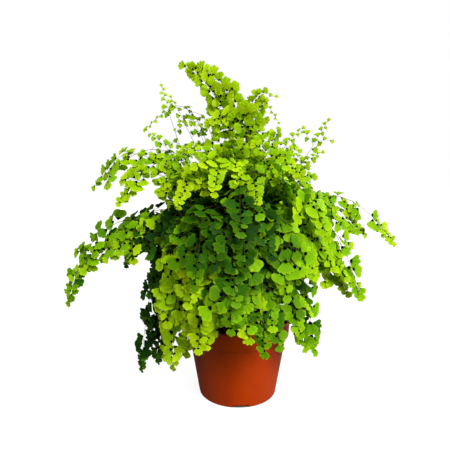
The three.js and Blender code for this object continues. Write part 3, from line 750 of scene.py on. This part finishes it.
LIGHTER = 0.28             # painted light: how much lighter a rib's end, out at the bush's surface, is than its foot
LIGHT_PLACE = 0.4          # where on a rib the light is the frond's own
DARKEST = 0.02
YELLOW_MEAN, YELLOW_SPREAD = 0.35, 0.3

LEAFLET_CLEAR = 10.0       # kept between the pot and a leaflet's middle,
RIB_CLEAR = 4.0            # and between the pot and a rib,
RIB_CHECK = 8              # of which every eighth point is checked
OVER_RIM = 2               # this far above the pot's rim they are free
LEAFLET_MIDDLE = 0.6       # where a leaflet's middle lies, as a share of its length


def upper_side(heading, tip, face):
    """The side of a frond that faces the sky, turned to the front or the back by face."""
    outward = unit(np.array([tip[0], tip[1], 0.0]))
    upper = unit(np.cross(heading, np.cross(UP, outward)))
    aim = FRONT * np.array([1.0, math.copysign(1.0, face), 1.0])
    if np.dot(upper, aim) < 0:
        upper = -upper
    share = FACE_LEAST + FACE_MORE * abs(face)
    return square_to(upper * (1 - share) + aim * share, heading)


def fits_pot(point, clear):
    """True if a point keeps clear of the pot."""
    radius = np.hypot(point[0], point[1])
    return not (radius < RIM_RADIUS + clear and point[2] < POT_HEIGHT + OVER_RIM)


def lean_from(heading, normal, side, degrees):
    """A direction that leans from heading to its left or right, square to normal."""
    lateral = np.cross(normal, heading)
    lean = math.radians(degrees)
    return heading * math.cos(lean) + lateral * side * math.sin(lean)


def grow_rib(growth, rib, face, size, light, draw, twig=False, taper=RIB_TAPER):
    """A rib with leaflets left and right of it and one at its end."""
    if not all(fits_pot(point, RIB_CLEAR) for point in rib.points[::RIB_CHECK]):
        return
    add_tube(growth, rib, rib.length, TWIG_RADIUS if twig else RIB_RADIUS, RIB_END_RADIUS,
             RIB_SIDES, TWIG_STEPS if twig else RIB_STEPS, RIB_TINT)
    light += draw.gauss(0, RIB_LIGHT_SPREAD)
    step = LEAFLET_STEP * max(size, AIRY - size)
    place = FIRST_LEAFLET
    side = draw.choice((-1, 1))
    twigs_left = 0 if twig else TWIGS
    while place < rib.length - step * 0.5:
        share = place / rib.length
        heading = rib.heading(place)
        normal = square_to(face, heading)
        outward = lean_from(heading, normal, side,
                            LEAFLET_LEAN - LEAN_TAPER * share + draw.uniform(*LEAN_RANGE))
        foot = rib.at(place)
        room = rib.length - place
        if twigs_left and share < TWIG_PLACE and room > TWIG_ROOM and draw.random() < TWIG_CHANCE:
            length = min(room * TWIG_SHARE, TWIG_LONGEST) * draw.uniform(*TWIG_LENGTH)
            end = foot + outward * length - UP * TWIG_DROOP * length
            branch = Path(foot, foot + outward * length * 0.5, end)
            tilted = turn(normal, heading, side * draw.uniform(*TWIG_TILT))
            grow_rib(growth, branch, tilted, size * TWIG_SIZE, light, draw, twig=True)
            twigs_left -= 1
        else:
            grow_leaflet(growth, foot, outward, normal, heading, side,
                         size * (1 - taper * share), share, light, draw)
        place += step * (1 - taper * share) * draw.uniform(*STEP_LENGTH)
        side = -side
    heading = rib.heading(rib.length)
    grow_leaflet(growth, rib.at(rib.length), heading, square_to(face, heading), heading, 0,
                 size * (1 - taper), 1.0, light, draw)


def grow_leaflet(growth, foot, outward, normal, heading, side, size, share, light, draw):
    """side is -1 or 1 for a leaflet beside the rib, and 0 for the one at its end."""
    length = LEAFLET * size * draw.uniform(*LEAFLET_LENGTH)
    if side == 0:
        length *= END_LONGER
    normal = turn(normal, outward, draw.gauss(0, ROLL_SPREAD))
    outward = unit(outward - UP * draw.uniform(*SAG) * (1 - abs(outward[2])))
    across = unit(np.cross(outward, normal))
    outward = unit(turn(outward, across, draw.gauss(0, PITCH_SPREAD)))
    normal = square_to(normal, outward)
    petiole = length * draw.uniform(*PETIOLE)
    neck = foot + outward * petiole
    middle = neck + outward * length * LEAFLET_MIDDLE
    if not fits_pot(middle, LEAFLET_CLEAR):
        return
    # Painted light and shade along the rib and the frond, beside a random spread.
    shade = light + draw.gauss(0, LEAFLET_LIGHT_SPREAD) + LIGHTER * (share - LIGHT_PLACE)
    yellow = clamp(draw.gauss(YELLOW_MEAN, YELLOW_SPREAD), 0.0, 1.0)
    tint = (clamp(shade, DARKEST, 1.0), yellow, draw.random())
    stem = Path(foot, foot + outward * petiole * 0.5, neck + outward * length * PETIOLE_INTO)
    add_tube(growth, stem, stem.length, *PETIOLE_RADII, PETIOLE_SIDES, PETIOLE_STEPS,
             PETIOLE_TINT)
    fans = END_FANS if side == 0 else SIDE_FANS
    # The fan's wider half points along the rib.
    ahead = 1.0 if side == 0 or np.dot(np.cross(outward, normal), heading) > 0 else -1.0
    add_leaflet(growth, draw.choice(fans), neck, outward, normal, ahead, length, tint, draw)


def grow_frond(index, slant, root, tip, mid, face, reach, size, light, shape):
    draw = random.Random(SEED_STEP * (1 + shape.get("seed", 0)) + index)
    growth = Growth()
    stalk = stalk_path(tip, root, mid, slant, shape.get("bulge", (0.0, 0.0)))
    end = stalk.length - reach
    add_tube(growth, stalk, end, *STALK_RADII, STALK_SIDES, STALK_STEPS, NO_TINT)

    leafy = end * (LEAFY - BARE)
    steps = round(leafy / (PINNA_STEP * max(size, AIRY - size)))
    pinnae = max(FEWEST_PINNAE, steps)
    for number in range(pinnae):
        share = number / pinnae
        shift = draw.uniform(-PINNA_SHIFT, PINNA_SHIFT) / pinnae
        place = end * BARE + leafy * (share + shift)
        side = 1 if (number + index) % 2 == 0 else -1
        heading = stalk.heading(place)
        normal = upper_side(heading, tip, face)
        outward = lean_from(heading, normal, side,
                            PINNA_LEAN + draw.gauss(0, PINNA_LEAN_SPREAD))
        length = reach * shape.get("spread", 1.0) * draw.uniform(*PINNA_LENGTH)
        length *= 1 - PINNA_TAPER * share ** TAPER_POWER
        foot = stalk.at(place)
        upright, level = PINNA_DROOP
        droop = level + (upright - level) * abs(heading[2])
        droop *= draw.uniform(*PINNA_DROOP_SHARE)
        rib = Path(foot, foot + outward * length * PINNA_BEND,
                   foot + unit(outward - UP * droop) * length)
        grow_rib(growth, rib, normal, size * (1 - PINNA_SMALLER * share ** 2),
                 light - SHADED * (1 - share), draw)

    leafed = reach * shape.get("end", 1.0)
    rest = Path(*[stalk.at(end + leafed * share) for share in (0.0, 0.5, 1.0)])
    grow_rib(growth, rest, upper_side(stalk.heading(end), tip, face), size, light, draw,
             taper=END_TAPER)
    return growth


HANGING = 0.0              # slant of the fronds that have a node,
SLANTING = 0.9             # and of the others,
FILL_DRAWS = 100           # whose draws are numbered from this

leaf_look = leaf_material()
stalk_look = stalk_material()


def plant_frond(name, index, row, slant):
    values, shape = row[:7], row[7] if len(row) > 7 else {}
    growth = grow_frond(index, slant, *values, shape)
    piece = growth.to_object(name, [leaf_look, stalk_look])
    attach(piece, "root")
    return piece


for index, row in enumerate(FRONDS):
    node_name = "frond_%02d" % (index + 1)
    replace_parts(plant_frond("fern_" + node_name, index, row, HANGING), node_name)

for index, row in enumerate(FRONT_FILL + SIDE_FILL + BACK_FILL):
    plant_frond("fern_fill_%02d" % (index + 1), FILL_DRAWS + index, row, SLANTING)


# ---- pot ----

POT_SIDES = 160
POT_SHARP = 38             # degrees
ROUND_STEPS = 5            # in a rounded corner of the profile
HOLLOW = 1.2               # height of the underside's middle
RING_INSIDE = 4.6          # from the foot's edge to the inside of the ring it stands on,
HOLLOW_EDGE = 6.0          # and to where the hollow is level
CUTTER_LENGTH = 12
CUTTER_BEVEL = 0.8
BEVEL_SEGMENTS = 3


def circle(radius, height, sides, offset=0.0):
    """Points round the Z axis. offset is in steps from one to the next."""
    angles = [2 * math.pi * (side + offset) / sides for side in range(sides)]
    return [(radius * math.cos(angle), radius * math.sin(angle), height) for angle in angles]


def lathe(name, profile, sides, material):
    """A closed solid of revolution, from the bottom's middle round to the inside's middle."""
    points = [(0.0, 0.0, profile[0][1])]
    faces = []
    ring_starts = []
    for radius, height in profile[1:-1]:
        ring_starts.append(len(points))
        points.extend(circle(radius, height, sides))
    points.append((0.0, 0.0, profile[-1][1]))
    first, last = ring_starts[0], ring_starts[-1]
    for side in range(sides):
        after = (side + 1) % sides
        faces.append((0, first + after, first + side))
        faces.append((len(points) - 1, last + side, last + after))
        for low, high in zip(ring_starts, ring_starts[1:]):
            faces.append((low + side, low + after, high + after, high + side))
    mesh = bpy.data.meshes.new(name)
    mesh.from_pydata([Vector(p) * MM for p in points], [], faces)
    mesh.materials.append(material)
    mesh.update()
    return link_object(name, mesh)


def rounded(corners):
    """A profile whose corners are rounded. A corner is (radius, height, rounding)."""
    profile = []
    for index, (radius, height, rounding) in enumerate(corners):
        point = np.array([radius, height], float)
        if rounding <= 0:
            profile.append(tuple(point))
            continue
        before = np.array(corners[index - 1][:2], float)
        after = np.array(corners[index + 1][:2], float)
        start = point + unit(before - point) * rounding
        end = point + unit(after - point) * rounding
        for step in range(ROUND_STEPS + 1):
            share = step / ROUND_STEPS
            profile.append(tuple(start * (1 - share) ** 2 + point * 2 * share * (1 - share)
                                 + end * share ** 2))
    return profile


def wall_radius(height):
    return FOOT_RADIUS + (WALL_TOP_RADIUS - FOOT_RADIUS) * height / COLLAR_START


def build_pot():
    profile = rounded([
        (0.0, HOLLOW, 0.0),
        (FOOT_RADIUS - HOLLOW_EDGE, HOLLOW, 0.4),
        (FOOT_RADIUS - RING_INSIDE, 0.0, 0.4),
        (FOOT_RADIUS, 0.0, 1.2),
        (wall_radius(COLLAR_START), COLLAR_START, 0.5),
        (COLLAR_FOOT_RADIUS, COLLAR_START + 0.4, 0.5),
        (RIM_RADIUS, POT_HEIGHT - 1.6, 0.4),
        (RIM_RADIUS + 0.1, POT_HEIGHT, 0.8),
        (RIM_RADIUS - WALL, POT_HEIGHT, 0.6),
        (COLLAR_FOOT_RADIUS - WALL, COLLAR_START + 2.4, 0.5),
        (wall_radius(COLLAR_START) - WALL, COLLAR_START, 0.5),
        (wall_radius(POT_FLOOR) - WALL, POT_FLOOR, 0.6),
        (0.0, POT_FLOOR, 0.0),
    ])
    pot = lathe("nursery_pot", profile, POT_SIDES, pot_material())
    for index in range(NOTCHES):
        angle = math.radians(NOTCH_TURN + index * 360 / NOTCHES)
        bpy.ops.mesh.primitive_cube_add(size=1.0)
        cutter = bpy.context.object
        cutter.scale = (CUTTER_LENGTH * MM, NOTCH_WIDTH * MM, NOTCH_HEIGHT * 2 * MM)
        cutter.location = (FOOT_RADIUS * math.cos(angle) * MM,
                           FOOT_RADIUS * math.sin(angle) * MM, 0.0)
        cutter.rotation_euler = (0.0, 0.0, angle)
        bevel = cutter.modifiers.new("bevel", "BEVEL")
        bevel.width = CUTTER_BEVEL * MM
        bevel.segments = BEVEL_SEGMENTS
        cut = pot.modifiers.new("notch", "BOOLEAN")
        cut.operation = "DIFFERENCE"
        cut.object = cutter
        bpy.context.view_layer.objects.active = pot
        bpy.ops.object.modifier_apply(modifier=cut.name)
        bpy.data.objects.remove(cutter)
    for polygon in pot.data.polygons:
        polygon.use_smooth = True
    pot.data.set_sharp_from_angle(angle=math.radians(POT_SHARP))
    return pot


pot = build_pot()
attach(pot, "root")
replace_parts(pot, "pot")


# ---- soil ----

SOIL_SEED = 5
SOIL_SIDES = 72
SOIL_RINGS = 26
ROUGH = (-1.1, 0.7)        # height of the soil's points beside its smooth dome,
EDGE_SINK = -0.5           # and at the pot's wall
CRUMBS = 420
CRUMB_SIZE = (0.7, 2.3)
CRUMB_SHAPE = (0.5, 1.3)   # length of its half axes, in sizes
CRUMB_LIFT = 0.2
CRUMB_INSET = 3.0          # kept between the pot's wall and the middles of crumbs
CRUMB_CORNERS = ((1, 0, 0), (-1, 0, 0), (0, 1, 0), (0, -1, 0), (0, 0, 1), (0, 0, -1))
CRUMB_FACES = [(0, 2, 4), (2, 1, 4), (1, 3, 4), (3, 0, 4),
               (2, 0, 5), (1, 2, 5), (3, 1, 5), (0, 3, 5)]
SOIL_WALL = wall_radius(COLLAR_START) - WALL - GAP
SOIL_TOP_RADIUS = COLLAR_FOOT_RADIUS - WALL - GAP


def dome(radius):
    """Height of the soil's smooth top."""
    return SOIL_CROWN + (SOIL_EDGE - SOIL_CROWN) * radius / SOIL_TOP_RADIUS


def build_soil():
    """A plug with a rough top, and crumbs that lie on it."""
    draw = np.random.RandomState(SOIL_SEED)
    growth = Growth()
    sides, rings = SOIL_SIDES, SOIL_RINGS
    points = [(0.0, 0.0, SOIL_CROWN)]
    for ring in range(1, rings + 1):
        radius = SOIL_TOP_RADIUS * ring / rings
        for x, y, height in circle(radius, dome(radius), sides, 0.5 * (ring % 2)):
            rough = draw.uniform(*ROUGH) if ring < rings else EDGE_SINK
            points.append((x, y, height + rough))
    faces = [(0, 1 + side, 1 + (side + 1) % sides) for side in range(sides)]
    for ring in range(rings - 1):
        low, high = 1 + ring * sides, 1 + (ring + 1) * sides
        for side in range(sides):
            after = (side + 1) % sides
            faces.append((low + side, high + side, high + after, low + after))
    rim = 1 + (rings - 1) * sides
    levels = [(SOIL_TOP_RADIUS, COLLAR_START + SOIL_STEP),
              (SOIL_WALL, COLLAR_START),
              (wall_radius(POT_FLOOR) - WALL - GAP, POT_FLOOR + GAP)]
    for radius, height in levels:
        start = len(points)
        points.extend(circle(radius, height, sides, 0.5 * (rings % 2)))
        for side in range(sides):
            after = (side + 1) % sides
            faces.append((rim + side, start + side, start + after, rim + after))
        rim = start
    faces.append(tuple(rim + side for side in reversed(range(sides))))
    growth.add(np.array(points), faces, SOIL_SLOT, np.zeros((len(points), 2)), NO_TINT)

    for _ in range(CRUMBS):
        radius = (SOIL_TOP_RADIUS - CRUMB_INSET) * math.sqrt(draw.uniform())
        angle = draw.uniform(0, 2 * math.pi)
        size = draw.uniform(*CRUMB_SIZE)
        centre = np.array([radius * math.cos(angle), radius * math.sin(angle),
                           dome(radius) + CRUMB_LIFT])
        corners = np.array(CRUMB_CORNERS, float)
        corners *= size * draw.uniform(*CRUMB_SHAPE, (6, 1))
        turned = np.linalg.qr(draw.normal(size=(3, 3)))[0]
        if np.linalg.det(turned) < 0:
            turned[:, 0] *= -1
        growth.add(centre + corners @ turned.T, CRUMB_FACES, SOIL_SLOT, np.zeros((6, 2)), NO_TINT)
    return growth.to_object("soil_fill", [soil_material()])


soil = build_soil()
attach(soil, "root")
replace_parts(soil, "soil")


# ---- stage, light and camera ----

SKY = 0.09                 # strength of the surroundings as a light; they look white
FLOOR_SIZE = 8.0           # metres
FLOOR_GLOW = 0.90          # how bright the floor looks where no light falls on it, 1 is white


def camera_ray(tree):
    return node(tree, "ShaderNodeLightPath").outputs["Is Camera Ray"]


def build_floor():
    """A grey floor that glows for the camera alone, so it looks white with a pale shadow.

    It has no glow below the pot's foot, so the drain notches stay dark.
    """
    bpy.ops.mesh.primitive_plane_add(size=FLOOR_SIZE)
    floor = bpy.context.object
    floor.name = "floor"
    material, tree = new_material("pale_floor")
    away = node(tree, "ShaderNodeVectorMath", {0: object_place(tree)}, operation="LENGTH")
    open_floor = math_node(tree, "GREATER_THAN", away.outputs["Value"], (FOOT_RADIUS - 1) * MM)
    glow = times(tree, times(tree, camera_ray(tree), open_floor), FLOOR_GLOW)
    show(tree, node(tree, "ShaderNodeBsdfPrincipled", {
        "Base Color": FLOOR_GREY, "Roughness": 0.9, "Specular IOR Level": 0.05,
        "Emission Color": WHITE, "Emission Strength": glow}))
    floor.data.materials.append(material)


def build_world():
    """White to the camera, and a faint light to everything else."""
    world = bpy.data.worlds.new("studio")
    world.use_nodes = True
    tree = world.node_tree
    tree.nodes.clear()
    strength = math_node(tree, "MULTIPLY_ADD", camera_ray(tree), 1.0 - SKY, SKY)
    sky = node(tree, "ShaderNodeBackground", {"Color": WHITE, "Strength": strength})
    node(tree, "ShaderNodeOutputWorld", {0: sky.outputs[0]})
    bpy.context.scene.world = world


def add_sun(name, source, strength, spread, colour=(1.0, 1.0, 1.0)):
    """Light from far away, in the direction source, as from a soft box spread degrees wide."""
    data = bpy.data.lights.new(name, "SUN")
    data.energy = strength
    data.angle = math.radians(spread)
    data.color = colour
    lamp = link_object(name, data)
    lamp.rotation_euler = (-Vector(source)).to_track_quat("-Z", "Y").to_euler()


CAMERA_BACK = 500
CAMERA_HEIGHT = 268
CAMERA_PITCH = 8.3         # degrees below level
CAMERA_YAW = 1.68          # degrees to the left, so that the pot stands right of the middle
FOCAL_PIXELS = 449.0
IMAGE_PIXELS = 450
SENSOR = 36.0
NEAREST = 0.01             # metres
WARM = (1.0, 0.90, 0.45)

build_floor()
build_world()
add_sun("key", (0.46, -0.68, 0.68), strength=5.6, spread=24)
add_sun("side", (1.0, -0.45, 0.12), strength=2.3, spread=40, colour=WARM)
add_sun("back", (0.60, 0.70, 0.55), strength=3.0, spread=30)
add_sun("left", (-0.85, -0.35, 0.50), strength=1.3, spread=40)

camera_data = bpy.data.cameras.new("camera")
camera_data.sensor_width = SENSOR
camera_data.lens = SENSOR * FOCAL_PIXELS / IMAGE_PIXELS
camera_data.clip_start = NEAREST
camera = link_object("camera", camera_data)
camera.location = (0.0, -CAMERA_BACK * MM, CAMERA_HEIGHT * MM)
camera.rotation_euler = (math.radians(90 - CAMERA_PITCH), 0.0, math.radians(CAMERA_YAW))
bpy.context.scene.camera = camera
bpy.context.scene.view_settings.view_transform = "Standard"
